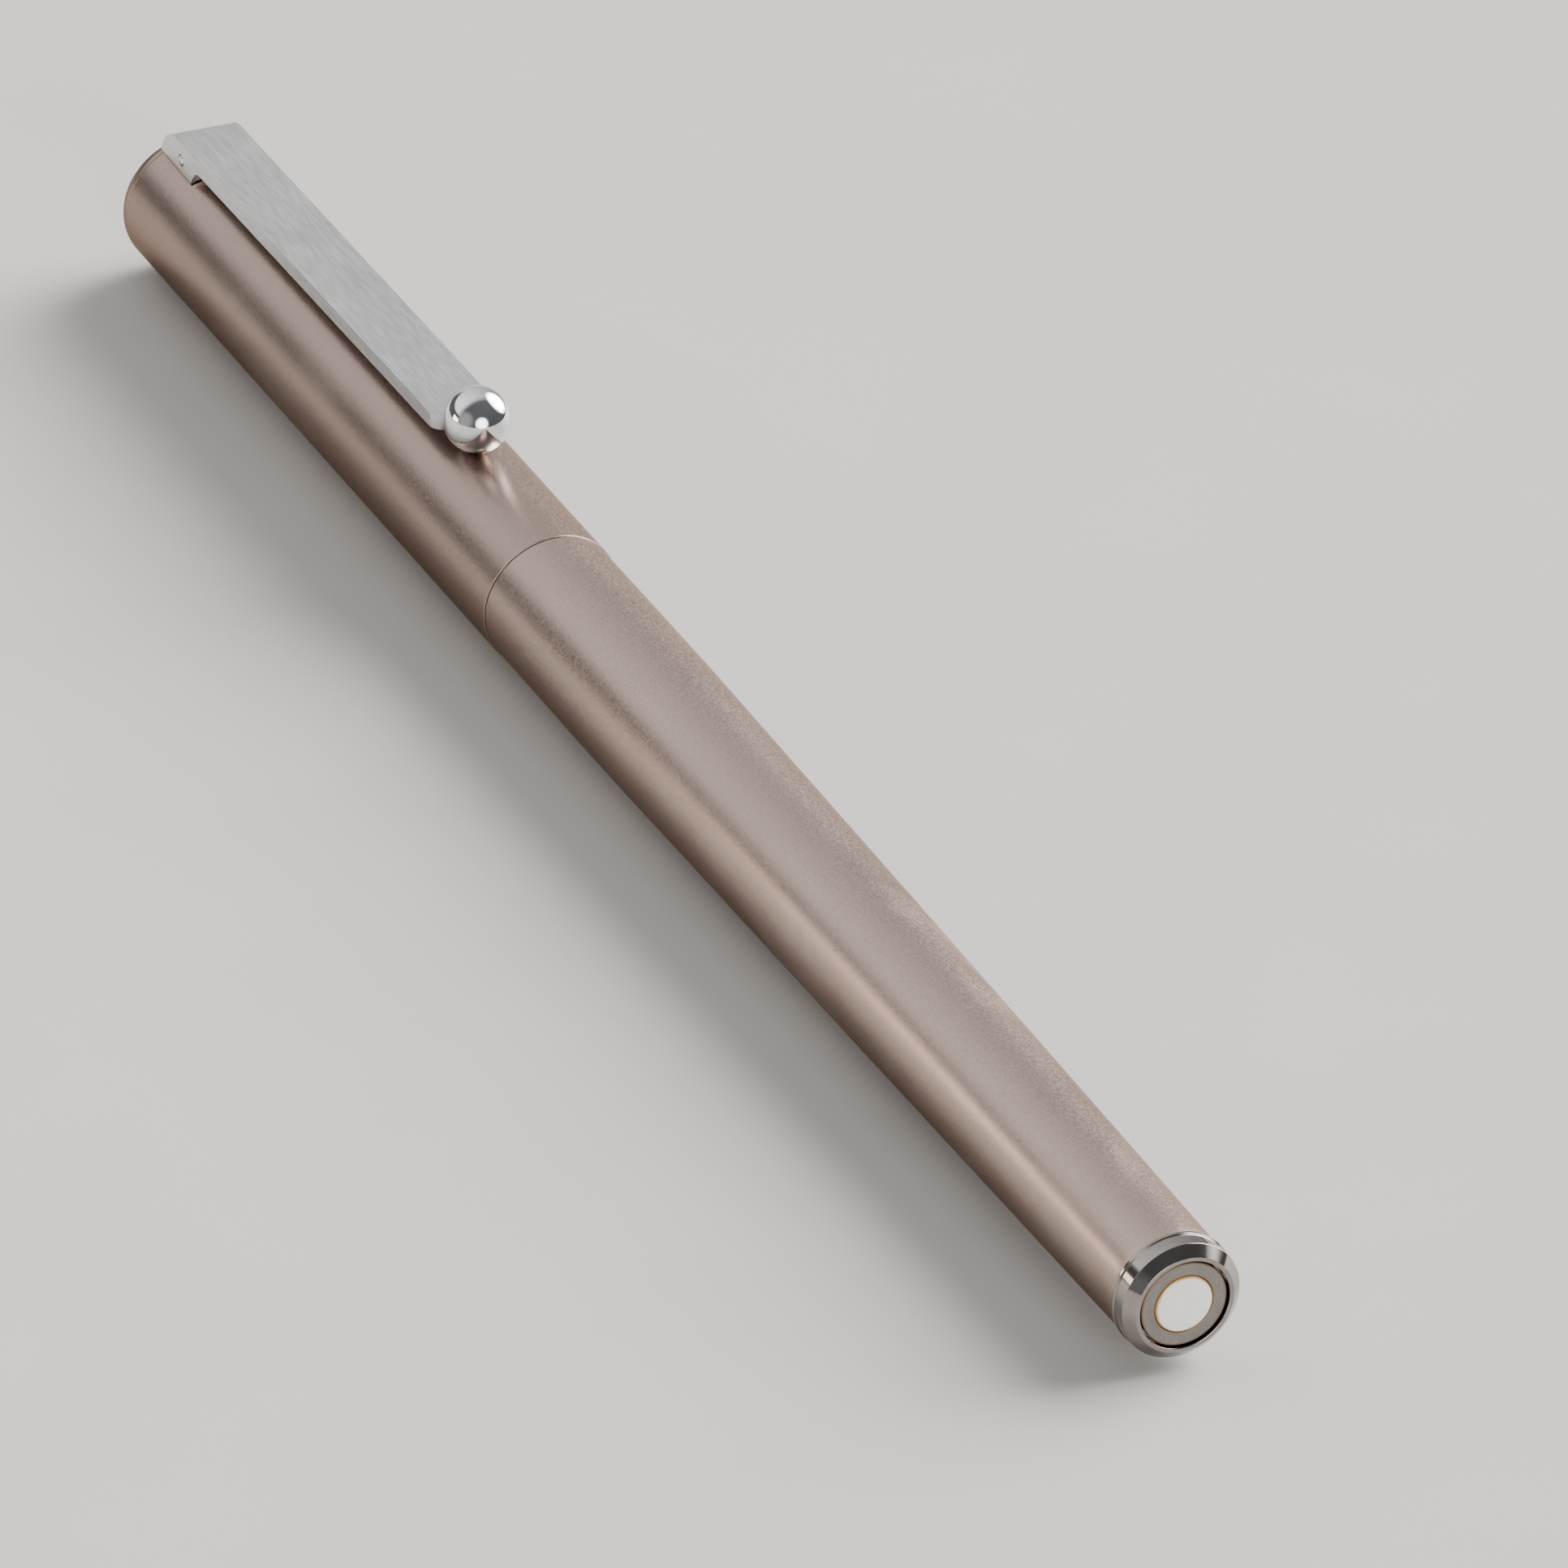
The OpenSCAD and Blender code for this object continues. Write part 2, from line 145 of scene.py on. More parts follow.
def lathe(name, points, material, segs=192, centre=None, along="X", arc_step=15.0):
    """A closed solid of revolution with exact normals, about the pen's axis or about Y through centre."""
    prof = profile(points, arc_step)
    verts, rings = [], []
    ang = np.arange(segs) * 2 * math.pi / segs
    ca, sa = np.cos(ang), np.sin(ang)

    def place(x, y, z):
        if along == "X":
            return (x * MM, y * MM, (axis_z + z) * MM)
        return ((centre[0] + y) * MM, (centre[1] + x) * MM, (centre[2] + z) * MM)

    for (x, r), _, _ in prof:
        if r < 1e-9:
            rings.append([len(verts)] * segs)
            verts.append(place(x, 0, 0))
        else:
            rings.append(list(range(len(verts), len(verts) + segs)))
            verts.extend(place(x, r * s, r * c) for s, c in zip(sa, ca))
    faces, normals = [], []
    flip = along != "X"
    m = len(prof)
    for j in range(m):
        k = (j + 1) % m
        (_, r0), (_, r1) = prof[j][0], prof[k][0]
        if r0 < 1e-9 and r1 < 1e-9:
            continue
        n0, n1 = prof[j][2], prof[k][1]
        for q in range(segs):
            w = (q + 1) % segs
            corner = [(rings[j][q], n0, q), (rings[j][w], n0, w), (rings[k][w], n1, w), (rings[k][q], n1, q)]
            if r0 < 1e-9:
                corner = [corner[0], corner[2], corner[3]]
            elif r1 < 1e-9:
                corner = [corner[0], corner[1], corner[2]]
            if flip:
                corner.reverse()
            faces.append([c[0] for c in corner])
            for _, nn, a in corner:
                v = (nn[0], nn[1] * sa[a], nn[1] * ca[a])
                normals.append(v if along == "X" else (v[1], v[0], v[2]))
    mesh = bpy.data.meshes.new(name)
    mesh.from_pydata(verts, [], faces)
    mesh.update()
    mesh.shade_smooth()
    mesh.normals_split_custom_set(normals)
    mesh.validate()
    return new_object(name, mesh, material)


def arc(cr, cx, r, a0, a1, n):
    return [(cr + r * math.cos(math.radians(a0 + (a1 - a0) * i / n)), cx + r * math.sin(math.radians(a0 + (a1 - a0) * i / n)), "s") for i in range(n + 1)]


def spline(pts, n):
    """Smooth curve through (r, x) points with growing x, sampled n times."""
    r = np.array([p[0] for p in pts])
    x = np.array([p[1] for p in pts])
    h = np.diff(x)
    dl = np.diff(r) / h
    m = np.empty_like(x)
    m[1:-1] = np.where(dl[:-1] * dl[1:] > 0, 2 * dl[:-1] * dl[1:] / (dl[:-1] + dl[1:] + 1e-12), 0)
    m[0], m[-1] = dl[0], dl[-1]
    out = []
    for t in np.linspace(x[0], x[-1], n):
        i = min(len(h) - 1, max(0, int(np.searchsorted(x, t) - 1)))
        s = (t - x[i]) / h[i]
        out.append((float((2 * s ** 3 - 3 * s ** 2 + 1) * r[i] + (s ** 3 - 2 * s ** 2 + s) * h[i] * m[i] + (-2 * s ** 3 + 3 * s ** 2) * r[i + 1] + (s ** 3 - s ** 2) * h[i] * m[i + 1]), float(t), "s"))
    return out


def applied(obj):
    """The object's mesh with its modifiers applied."""
    bpy.context.view_layer.update()
    dg = bpy.context.evaluated_depsgraph_get()
    mesh = bpy.data.meshes.new_from_object(obj.evaluated_get(dg))
    old = obj.data
    obj.modifiers.clear()
    obj.data = mesh
    if old.users == 0:
        bpy.data.meshes.remove(old)
    return obj


def cut(obj, *cutters):
    for c in cutters:
        m = obj.modifiers.new("cut", "BOOLEAN")
        m.operation, m.solver, m.object = "DIFFERENCE", "EXACT", c
    applied(obj)
    for c in cutters:
        mesh = c.data
        bpy.data.objects.remove(c)
        bpy.data.meshes.remove(mesh)
    return obj


def bm_object(name, bm, material):
    mesh = bpy.data.meshes.new(name)
    bm.to_mesh(mesh)
    bm.free()
    return new_object(name, mesh, material)


def cyl_cutter(p0, p1, r, segs, material):
    """A cylinder from p0 to p1 in mm, as a cutter."""
    p0, p1 = Vector(p0) * MM, Vector(p1) * MM
    bm = bmesh.new()
    rot = (p1 - p0).to_track_quat("Z", "Y").to_matrix().to_4x4()
    bmesh.ops.create_cone(bm, cap_ends=True, segments=segs, radius1=r * MM, radius2=r * MM, depth=(p1 - p0).length, matrix=Matrix.Translation((p0 + p1) / 2) @ rot)
    return bm_object("cutter", bm, material)


def box_cutter(a, b, material):
    a, b = Vector(a) * MM, Vector(b) * MM
    bm = bmesh.new()
    bmesh.ops.create_cube(bm, size=1.0, matrix=Matrix.Translation((a + b) / 2) @ Matrix.Diagonal((*(b - a), 1)))
    return bm_object("cutter", bm, material)


def crisp(obj, angle=28.0):
    """Smooth shading with flat faces kept flat and hard edges kept hard."""
    obj.data.shade_smooth()
    obj.data.set_sharp_from_angle(angle=math.radians(angle))
    m = obj.modifiers.new("normals", "WEIGHTED_NORMAL")
    m.keep_sharp, m.weight, m.mode = True, 80, "FACE_AREA"
    return applied(obj)


# ------------------------------------------------------------------ materials
class Mat:
    """A procedural material on a Principled shader; coordinates are the object's own, in metres."""

    def __init__(self, name, **sockets):
        self.m = bpy.data.materials.new(name)
        self.m.use_nodes = True
        self.t = self.m.node_tree
        self.bsdf = next(n for n in self.t.nodes if n.type == "BSDF_PRINCIPLED")
        for k, v in sockets.items():
            self.set(k.replace("_", " "), v)
        self.co = self.t.nodes.new("ShaderNodeTexCoord").outputs["Object"]

    def set(self, socket, value):
        i = self.bsdf.inputs[socket]
        i.default_value = (*value, 1.0) if isinstance(value, tuple) and len(value) == 3 and len(i.default_value) == 4 else value

    def node(self, kind, inputs=None, **props):
        n = self.t.nodes.new("ShaderNode" + kind)
        for k, v in props.items():
            setattr(n, k, v)
        for k, v in (inputs or {}).items():
            i = n.inputs[k]
            if isinstance(v, bpy.types.NodeSocket):
                self.t.links.new(v, i)
            else:
                i.default_value = v
        return n

    def scaled(self, sx, sy, sz):
        return self.node("Mapping", {"Vector": self.co, "Scale": (sx, sy, sz)}).outputs["Vector"]

    def noise(self, scale, detail=2.0, rough=0.5, vector=None, distortion=0.0):
        return self.node("TexNoise", {"Vector": vector or self.co, "Scale": scale, "Detail": detail, "Roughness": rough, "Distortion": distortion}).outputs["Fac"]

    def cells(self, scale, vector=None, feature="F1", output="Color"):
        return self.node("TexVoronoi", {"Vector": vector or self.co, "Scale": scale}, feature=feature).outputs[output]

    def ramp(self, value, a, b, lo_=0.0, hi_=1.0, smooth=True):
        return self.node("MapRange", {"Value": value, "From Min": a, "From Max": b, "To Min": lo_, "To Max": hi_}, interpolation_type="SMOOTHSTEP" if smooth else "LINEAR").outputs["Result"]

    def math(self, op, a, b=0.0):
        return self.node("Math", {0: a, 1: b}, operation=op).outputs[0]

    def mix(self, fac, a, b, blend="MIX"):
        n = self.node("Mix", {"Factor": fac}, data_type="RGBA", blend_type=blend)
        for k, v in ((6, a), (7, b)):
            if isinstance(v, bpy.types.NodeSocket):
                self.t.links.new(v, n.inputs[k])
            else:
                n.inputs[k].default_value = (*v, 1.0) if len(v) == 3 else v
        return n.outputs[2]

    def split(self):
        return self.node("SeparateXYZ", {"Vector": self.co}).outputs

    def bump(self, height, distance, strength=1.0, normal=None):
        ins = {"Height": height, "Distance": distance, "Strength": strength}
        if normal is not None:
            ins["Normal"] = normal
        return self.node("Bump", ins).outputs["Normal"]

    def to(self, socket, out):
        self.t.links.new(out, self.bsdf.inputs[socket])


def radius_from_axis(m):
    """Distance from the pen's axis, in metres."""
    s = m.split()
    z = m.math("SUBTRACT", s["Z"], axis_z * MM)
    return m.math("SQRT", m.math("ADD", m.math("MULTIPLY", s["Y"], s["Y"]), m.math("MULTIPLY", z, z)))


def satin(name, base, dark, light, rough, grain, depth, wear=0.10):
    """Micro-blasted metal: sparkling grain, faint clouding and handling marks."""
    m = Mat(name, Metallic=1.0, Specular_Tint=(0.34, 0.29, 0.27))
    fine = m.noise(grain, 3.0, 0.62)
    coarse = m.noise(grain * 0.42, 2.0, 0.5)
    cloud = m.noise(150.0, 3.0, 0.55, m.scaled(0.35, 1, 1))
    smudge = m.ramp(m.noise(95.0, 4.0, 0.6, m.scaled(0.6, 1, 1), 0.6), 0.56, 0.70)
    speck = m.ramp(m.cells(2300.0, output="Distance"), 0.10, 0.05)
    keep = m.ramp(m.noise(420.0, 1.0, 0.5), 0.66, 0.70)
    speck = m.math("MULTIPLY", speck, keep)
    colour = m.mix(m.ramp(fine, 0.30, 0.70), dark, light)
    colour = m.mix(m.math("MULTIPLY", m.ramp(cloud, 0.35, 0.68), 0.45), colour, base)
    colour = m.mix(m.math("MULTIPLY", smudge, wear), colour, (0.62, 0.56, 0.52))
    colour = m.mix(m.math("MULTIPLY", speck, 0.55), colour, (0.78, 0.74, 0.70))
    m.to("Base Color", colour)
    r = m.math("ADD", m.ramp(cloud, 0.3, 0.7, rough - 0.015, rough + 0.02), m.ramp(fine, 0.35, 0.7, -0.035, 0.035))
    r = m.math("ADD", r, m.math("MULTIPLY", smudge, 0.045))
    m.to("Roughness", r)
    height = m.math("ADD", m.math("MULTIPLY", fine, 0.72), m.math("MULTIPLY", coarse, 0.5))
    m.to("Normal", m.bump(height, depth))
    return m.m


def polished(name, base, rough, scratch=0.5, warm=None):
    """Polished metal with hairline polishing marks and a trace of clouding."""
    m = Mat(name, Metallic=1.0)
    cloud = m.noise(420.0, 3.0, 0.55)
    hair = m.noise(2600.0, 2.0, 0.7, m.scaled(0.12, 1, 1))
    tone = tuple(c * 0.86 for c in base) if warm is None else warm
    m.to("Base Color", m.mix(m.ramp(cloud, 0.36, 0.66), base, tone))
    m.to("Roughness", m.math("ADD", m.ramp(cloud, 0.35, 0.7, rough, rough + 0.05), m.ramp(hair, 0.5, 0.75, 0.0, 0.05 * scratch)))
    m.to("Normal", m.bump(hair, 0.0000012 * scratch))
    return m.m


def steel(name, base, rough, grain=5200.0, depth=0.0000045, along=(0.10, 1, 1)):
    """Satin steel: fine lengthwise finishing lines over a soft grain."""
    m = Mat(name, Metallic=1.0)
    lines = m.noise(grain, 2.0, 0.6, m.scaled(*along))
    soft = m.noise(260.0, 3.0, 0.5)
    m.to("Base Color", m.mix(m.ramp(lines, 0.3, 0.7), tuple(c * 0.93 for c in base), tuple(min(1.0, c * 1.06) for c in base)))
    m.to("Roughness", m.math("ADD", m.ramp(lines, 0.3, 0.7, rough - 0.03, rough + 0.03), m.ramp(soft, 0.35, 0.7, -0.02, 0.025)))
    m.to("Normal", m.bump(lines, depth))
    return m.m


def plastic(name, base, rough, grain=3000.0, depth=0.000003, spec=0.5, coat=0.0):
    """Moulded plastic: faint flow and pore texture, slightly worn gloss."""
    m = Mat(name, Specular_IOR_Level=spec, Coat_Weight=coat, Coat_Roughness=0.12)
    pore = m.noise(grain, 3.0, 0.6)
    flow = m.noise(300.0, 3.0, 0.5, m.scaled(0.4, 1, 1))
    m.to("Base Color", m.mix(m.ramp(flow, 0.35, 0.7), base, tuple(min(1.0, c * 1.25 + 0.004) for c in base)))
    m.to("Roughness", m.math("ADD", m.ramp(flow, 0.3, 0.7, rough - 0.03, rough + 0.05), m.ramp(pore, 0.35, 0.7, -0.03, 0.03)))
    m.to("Normal", m.bump(pore, depth))
    return m.m


barrel_satin = satin("barrel_satin_metal", (0.43, 0.338, 0.298), (0.392, 0.304, 0.266), (0.472, 0.377, 0.335), 0.335, 6200.0, 0.0000090)
cap_satin = satin("cap_satin_metal", (0.385, 0.30, 0.262), (0.352, 0.270, 0.234), (0.418, 0.330, 0.292), 0.34, 6200.0, 0.0000090)
clip_satin = steel("clip_satin_steel", (0.60, 0.60, 0.605), 0.33)
chrome = polished("polished_chrome", (0.80, 0.80, 0.81), 0.045)
bright_steel = polished("bright_steel", (0.74, 0.74, 0.75), 0.12, 1.0)
gunmetal = polished("polished_gunmetal", (0.33, 0.30, 0.285), 0.075, 0.8, (0.27, 0.24, 0.222))
spring_wire = steel("spring_wire", (0.52, 0.52, 0.53), 0.28, 4000.0, 0.000003, (1, 1, 1))
brass = steel("machined_brass", (0.70, 0.52, 0.25), 0.25, 5200.0, 0.000004, (1.0, 0.12, 0.12))
aluminium = steel("refill_satin_metal", (0.70, 0.69, 0.66), 0.30)
black = plastic("black_plastic", (0.012, 0.012, 0.013), 0.27, spec=0.5, coat=0.15)
black_in = plastic("black_inner_plastic", (0.02, 0.02, 0.022), 0.42)
pale_plastic = plastic("natural_white_plastic", (0.72, 0.72, 0.69), 0.38)
rubber = plastic("seal_rubber_soft", (0.022, 0.022, 0.022), 0.62, 2200.0, 0.000005)
fibre = plastic("ink_fibre_rod", (0.02, 0.035, 0.16), 0.85, 5200.0, 0.00003, spec=0.2)


def make_disc_material():
    """Matte blasted disc, darker and warmer towards its rim; the dark amber at the rim and the warm band along the
    inlay are painted shade in the groove and at the step.
    """
    m = Mat("blasted_disc_metal", Metallic=1.0)
    r = radius_from_axis(m)
    grain = m.noise(6800.0, 3.0, 0.65)
    cloud = m.noise(700.0, 3.0, 0.55)
    c = m.mix(m.ramp(grain, 0.3, 0.7), (0.225, 0.203, 0.19), (0.29, 0.263, 0.246))
    c = m.mix(m.math("MULTIPLY", m.ramp(cloud, 0.35, 0.7), 0.35), c, (0.20, 0.175, 0.162))
    # painted shade: dark amber where the disc meets the groove at its rim
    c = m.mix(m.ramp(r, 2.52 * MM, 2.70 * MM), c, (0.17, 0.105, 0.055))
    # painted shade: warm amber along the step where the disc meets the inlay
    c = m.mix(m.ramp(r, (inlay_r + 0.14) * MM, (inlay_r + 0.02) * MM), c, (0.30, 0.185, 0.08))
    m.to("Base Color", c)
    m.to("Roughness", m.math("ADD", m.ramp(cloud, 0.3, 0.7, 0.44, 0.50), m.ramp(grain, 0.35, 0.7, -0.03, 0.03)))
    m.to("Normal", m.bump(grain, 0.000009))
    return m.m


def make_inlay_material():
    """Glossy white resin under a clear coat, with a ring of painted amber shade where it meets the disc."""
    m = Mat("white_inlay_resin", Coat_Weight=0.6, Coat_Roughness=0.05, Specular_IOR_Level=0.5, Subsurface_Weight=0.15, Subsurface_Scale=0.0004)
    r = radius_from_axis(m)
    soft = m.noise(900.0, 3.0, 0.5)
    c = m.mix(m.ramp(soft, 0.3, 0.7), (0.91, 0.895, 0.84), (0.95, 0.94, 0.90))
    # painted shade: amber ring at the inlay's edge where it meets the disc
    c = m.mix(m.ramp(r, (inlay_r - 0.17) * MM, (inlay_r - 0.02) * MM), c, (0.50, 0.27, 0.075))
    m.to("Base Color", c)
    m.to("Roughness", m.ramp(soft, 0.3, 0.7, 0.15, 0.22))
    m.to("Normal", m.bump(soft, 0.000002))
    return m.m


disc_metal = make_disc_material()
inlay_resin = make_inlay_material()

# ------------------------------------------------------------------ cap
piece = {}


def add(obj, body, slot, *replaced):
    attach(obj, body)
    if replaced:
        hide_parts(*replaced)
    piece[obj.name] = obj
    return obj


add(lathe("cap_shell", [
    (cap_in, x_seam, 0.02), (cap_r - 0.035, x_seam, 0.01), (cap_r, x_seam + 0.035, 0.03),
    (cap_r, x_lip, 0.05), (cap_in, x_lip, 0.05)], cap_satin, 224), "cap", "satin_body", "cap_tube")

add(lathe("cap_end", [
    (0, x_crown, "s"), (1.2, x_crown + 0.006, "s"), (2.5, x_crown + 0.03, "s")]
    + arc(cap_r - 1.2, x_crown + 1.25, 1.2, -86, 0, 20)
    + [(cap_r, x_seam - 0.035, 0.03), (cap_r - 0.035, x_seam, 0.01), (cap_in, x_seam, 0.02), (cap_in, x_crown + 7.6, 0.1), (0, x_crown + 7.6, 0)],
    cap_satin, 224), "cap", "satin_body", "cap_crown")


def build_blade():
    """Clip blade: a flat tapered plate with rolled edges and a root block that straddles the cap."""
    w = (blade_hi.y - blade_lo.y) / 2
    x0, x1 = blade_lo.x, blade_hi.x
    zt, zr = 6.3, 5.9
    t = 0.9
    px = pin_c.x
    side = [(x1, zt), (x1, zt - t), (px + 2.6, zr - t + 0.03)]
    for a in range(1, 7):  # rounded shoulder between plate and root block
        k = a / 6
        side.append((px + 2.6 - 1.25 * math.sin(k * math.pi / 2), zr - t + 0.03 - 1.83 * (1 - math.cos(k * math.pi / 2))))
    side.append((x0, 3.2))
    side += [(x0 + 2.0 - 2.0 * math.cos(math.radians(5 * i)), zr - 2.0 + 2.0 * math.sin(math.radians(5 * i))) for i in range(19)]
    bm = bmesh.new()
    lower = [bm.verts.new((x * MM, -w * MM, (axis_z + z) * MM)) for x, z in side]
    upper = [bm.verts.new((x * MM, w * MM, (axis_z + z) * MM)) for x, z in side]
    bm.faces.new(lower)
    bm.faces.new(list(reversed(upper)))
    for i in range(len(side)):
        j = (i + 1) % len(side)
        bm.faces.new((lower[j], lower[i], upper[i], upper[j]))
    bmesh.ops.recalc_face_normals(bm, faces=bm.faces)
    bm.normal_update()
    ends = [e for e in bm.edges if all(abs(v.co.x - x1 * MM) < 1e-7 for v in e.verts) and abs(e.verts[0].co.y - e.verts[1].co.y) < 1e-9]
    bmesh.ops.bevel(bm, geom=ends, offset=0.9 * MM, segments=10, profile=0.5, affect="EDGES")
    bm.normal_update()
    edges = [e for e in bm.edges if len(e.link_faces) == 2 and e.calc_face_angle() > math.radians(50) and min(v.co.z for v in e.verts) > (axis_z + 4.3) * MM]
    bmesh.ops.bevel(bm, geom=edges, offset=0.14 * MM, segments=4, profile=0.5, affect="EDGES", clamp_overlap=True)
    obj = bm_object("clip_plate", bm, clip_satin)
    lug = 2.0
    px_, pz = pin_c.x, pin_c.z
    tilt = math.radians(4.5)
    cut(obj,
        cyl_cutter((x_crown - 1, 0, axis_z), (x_lip, 0, axis_z), cap_r + 0.10, 192, clip_satin),
        cyl_cutter((px_ - 12 * math.cos(tilt), 0, axis_z + 12 * math.sin(tilt)), (px_, 0, axis_z), cap_r + 0.10, 192, clip_satin),
        box_cutter((x0 + 0.65, -lug / 2 - 0.08, axis_z + 2), (px_ + 0.9, lug / 2 + 0.08, axis_z + zr - t), clip_satin),
        cyl_cutter((px_, -lug / 2 - 0.08, pz), (px_, lug / 2 + 0.08, pz), 0.66, 48, clip_satin),
        cyl_cutter((px_, -4, pz), (px_, 4, pz), pin_r + 0.03, 48, clip_satin))
    return crisp(obj)


add(build_blade(), "clip", "clip_steel", "clip_blade")


def build_tip():
    """Polished round bulb at the clip's end, very slightly flattened where it lies on the cap."""
    bm = bmesh.new()
    bmesh.ops.create_icosphere(bm, subdivisions=6, radius=1.0)
    for v in bm.verts:
        n = v.co.normalized()
        r = tip_r * (1 - 0.004 * n.z ** 4)
        v.co = (Vector(tip_c) + n * r) * MM
    for f in bm.faces:
        f.smooth = True
    return bm_object("clip_bulb", bm, chrome)


add(build_tip(), "clip", "polished_steel", "clip_tip")

add(lathe("clip_cross_pin", [
    (0, -pin_h, "s"), (pin_r - 0.16, -pin_h + 0.035, "s"), (pin_r - 0.05, -pin_h + 0.09, "s"), (pin_r, -pin_h + 0.17, "s"),
    (pin_r, -1.0, "s"), (pin_r, 1.0, "s"),
    (pin_r, pin_h - 0.17, "s"), (pin_r - 0.05, pin_h - 0.09, "s"), (pin_r - 0.16, pin_h - 0.035, "s"), (0, pin_h, "s")],
    chrome, 48, tuple(pin_c), "Y"), "cap", "polished_steel", "clip_pin")

# ------------------------------------------------------------------ barrel
samples = [(barrel_r(u), x_lip + (x_collar - x_lip) * u, "s") for u in np.linspace(0.012, 0.9985, 110)]
add(lathe("barrel_shell", [(bore_r, x_lip + 0.02 + 4.8 + 2.0, 0.05), (bush_r, x_lip + 6.82, 0.0), (bush_r, x_lip + 0.02, 0.04), (barrel_r(0), x_lip + 0.02, 0.07)]
    + samples + [(barrel_r(1.0) - 0.015, x_collar, 0.01), (bore_r, x_collar, 0.02)], barrel_satin, 224),
    "barrel", "satin_body", "barrel_tube")

xe = x_end
add(lathe("end_cap", [
    (0, xe - 0.75, 0), (2.82, xe - 0.75, 0.03), (2.82, xe, 0.06), (3.085, xe, 0.035),
    (3.62, xe - 0.50, 0.035), (3.70, xe - 0.575, 0.05),
    (3.70, x_collar + 0.33, 0.04), (3.775, x_collar + 0.27, 0.05), (3.775, x_collar + 0.06, 0.05), (3.68, x_collar, 0.02),
    (bore_r, x_collar, 0.02), (bore_r, x_collar - 6, 0.1), (bore_r - 0.3, x_collar - 6.3, 0.05), (0, x_collar - 6.3, 0)],
    gunmetal, 224, arc_step=11.0), "barrel", "gunmetal", "end_collar")

add(lathe("end_plate", [
    (0, xe - 0.75, 0), (2.70, xe - 0.75, 0.0), (2.70, xe - 0.15, 0.07), (2.2, xe - 0.155, "s"), (inlay_r + 0.05, xe - 0.17, 0.03),
    (inlay_r + 0.01, xe - 0.26, 0.01), (inlay_r + 0.01, xe - 0.45, 0), (0, xe - 0.45, 0)],
    disc_metal, 160), "barrel", "blasted_disc", "end_disc")

add(lathe("end_white_inlay", [
    (0, xe - 0.45, 0), (inlay_r, xe - 0.45, 0.0), (inlay_r, xe - 0.14, 0.09)]
    + [(inlay_r * math.sin(a), xe - 0.01 - 0.07 * (1 - math.cos(a)) * 0.9, "s") for a in (1.15, 0.95, 0.75, 0.55, 0.35, 0.15)]
    + [(0, xe - 0.01, "s")],
    inlay_resin, 128), "barrel", "white_inlay", "end_inlay")

# ------------------------------------------------------------------ grip section, seen when the cap is off
xn = x_nose
curve = spline([(2.35, xn + 2.4), (2.6, xn + 4.6), (2.86, xn + 8), (3.16, xn + 12.5), (3.37, xn + 17), (3.47, xn + 22), (section_r, x_lip - 8.5), (section_r, x_lip - 6.45)], 60)
add(lathe("grip", [(3.05, x_lip - 0.9, 0), (3.05, xn + 18.15, 0), (1.6, xn + 16.75, 0), (1.6, xn + 2.4, 0)] + curve + [
    (section_r, x_lip - 6.35, 0.05), (3.3, x_lip - 6.35, 0.03), (3.3, x_lip - 5.45, 0.03), (section_r, x_lip - 5.45, 0.05),
    (section_r, x_lip - 4.15, 0.04), (3.4, x_lip - 4.15, 0.03), (3.4, x_lip - 3.85, 0.03), (section_r, x_lip - 3.85, 0.04), (section_r, x_lip - 0.9, 0.05)],
    black, 160), "section", "black_plastic", "section_grip")
add(lathe("shoulder_ring", [
    (3.05, x_lip - 0.9, 0), (section_r, x_lip - 0.9, 0.03), (3.66, x_lip - 0.78, 0.05), (3.68, x_lip - 0.66, 0.04), (3.68, x_lip + 0.2, 0.04), (3.6, x_lip + 0.26, 0.03), (3.05, x_lip + 0.26, 0)],
    bright_steel, 160), "section", "polished_steel", "section_shoulder_ring")
add(lathe("nose_cone", [
    (1.6, xn + 2.4, 0), (2.33, xn + 2.4, 0.03), (2.31, xn + 1.95, 0.03), (2.08, xn + 1.15, "s"), (1.76, xn + 0.12, 0.10), (1.6, xn, 0.05), (1.28, xn, 0.05), (1.28, xn + 1.0, 0.05), (1.6, xn + 1.3, 0)],
    chrome, 128), "section", "polished_steel", "section_nose")
add(lathe("seal_ring", arc(section_r + 0.01, x_lip - 4.0, 0.12, 0, 337.5, 15), rubber, 128), "section", "seal_rubber", "section_o_ring")


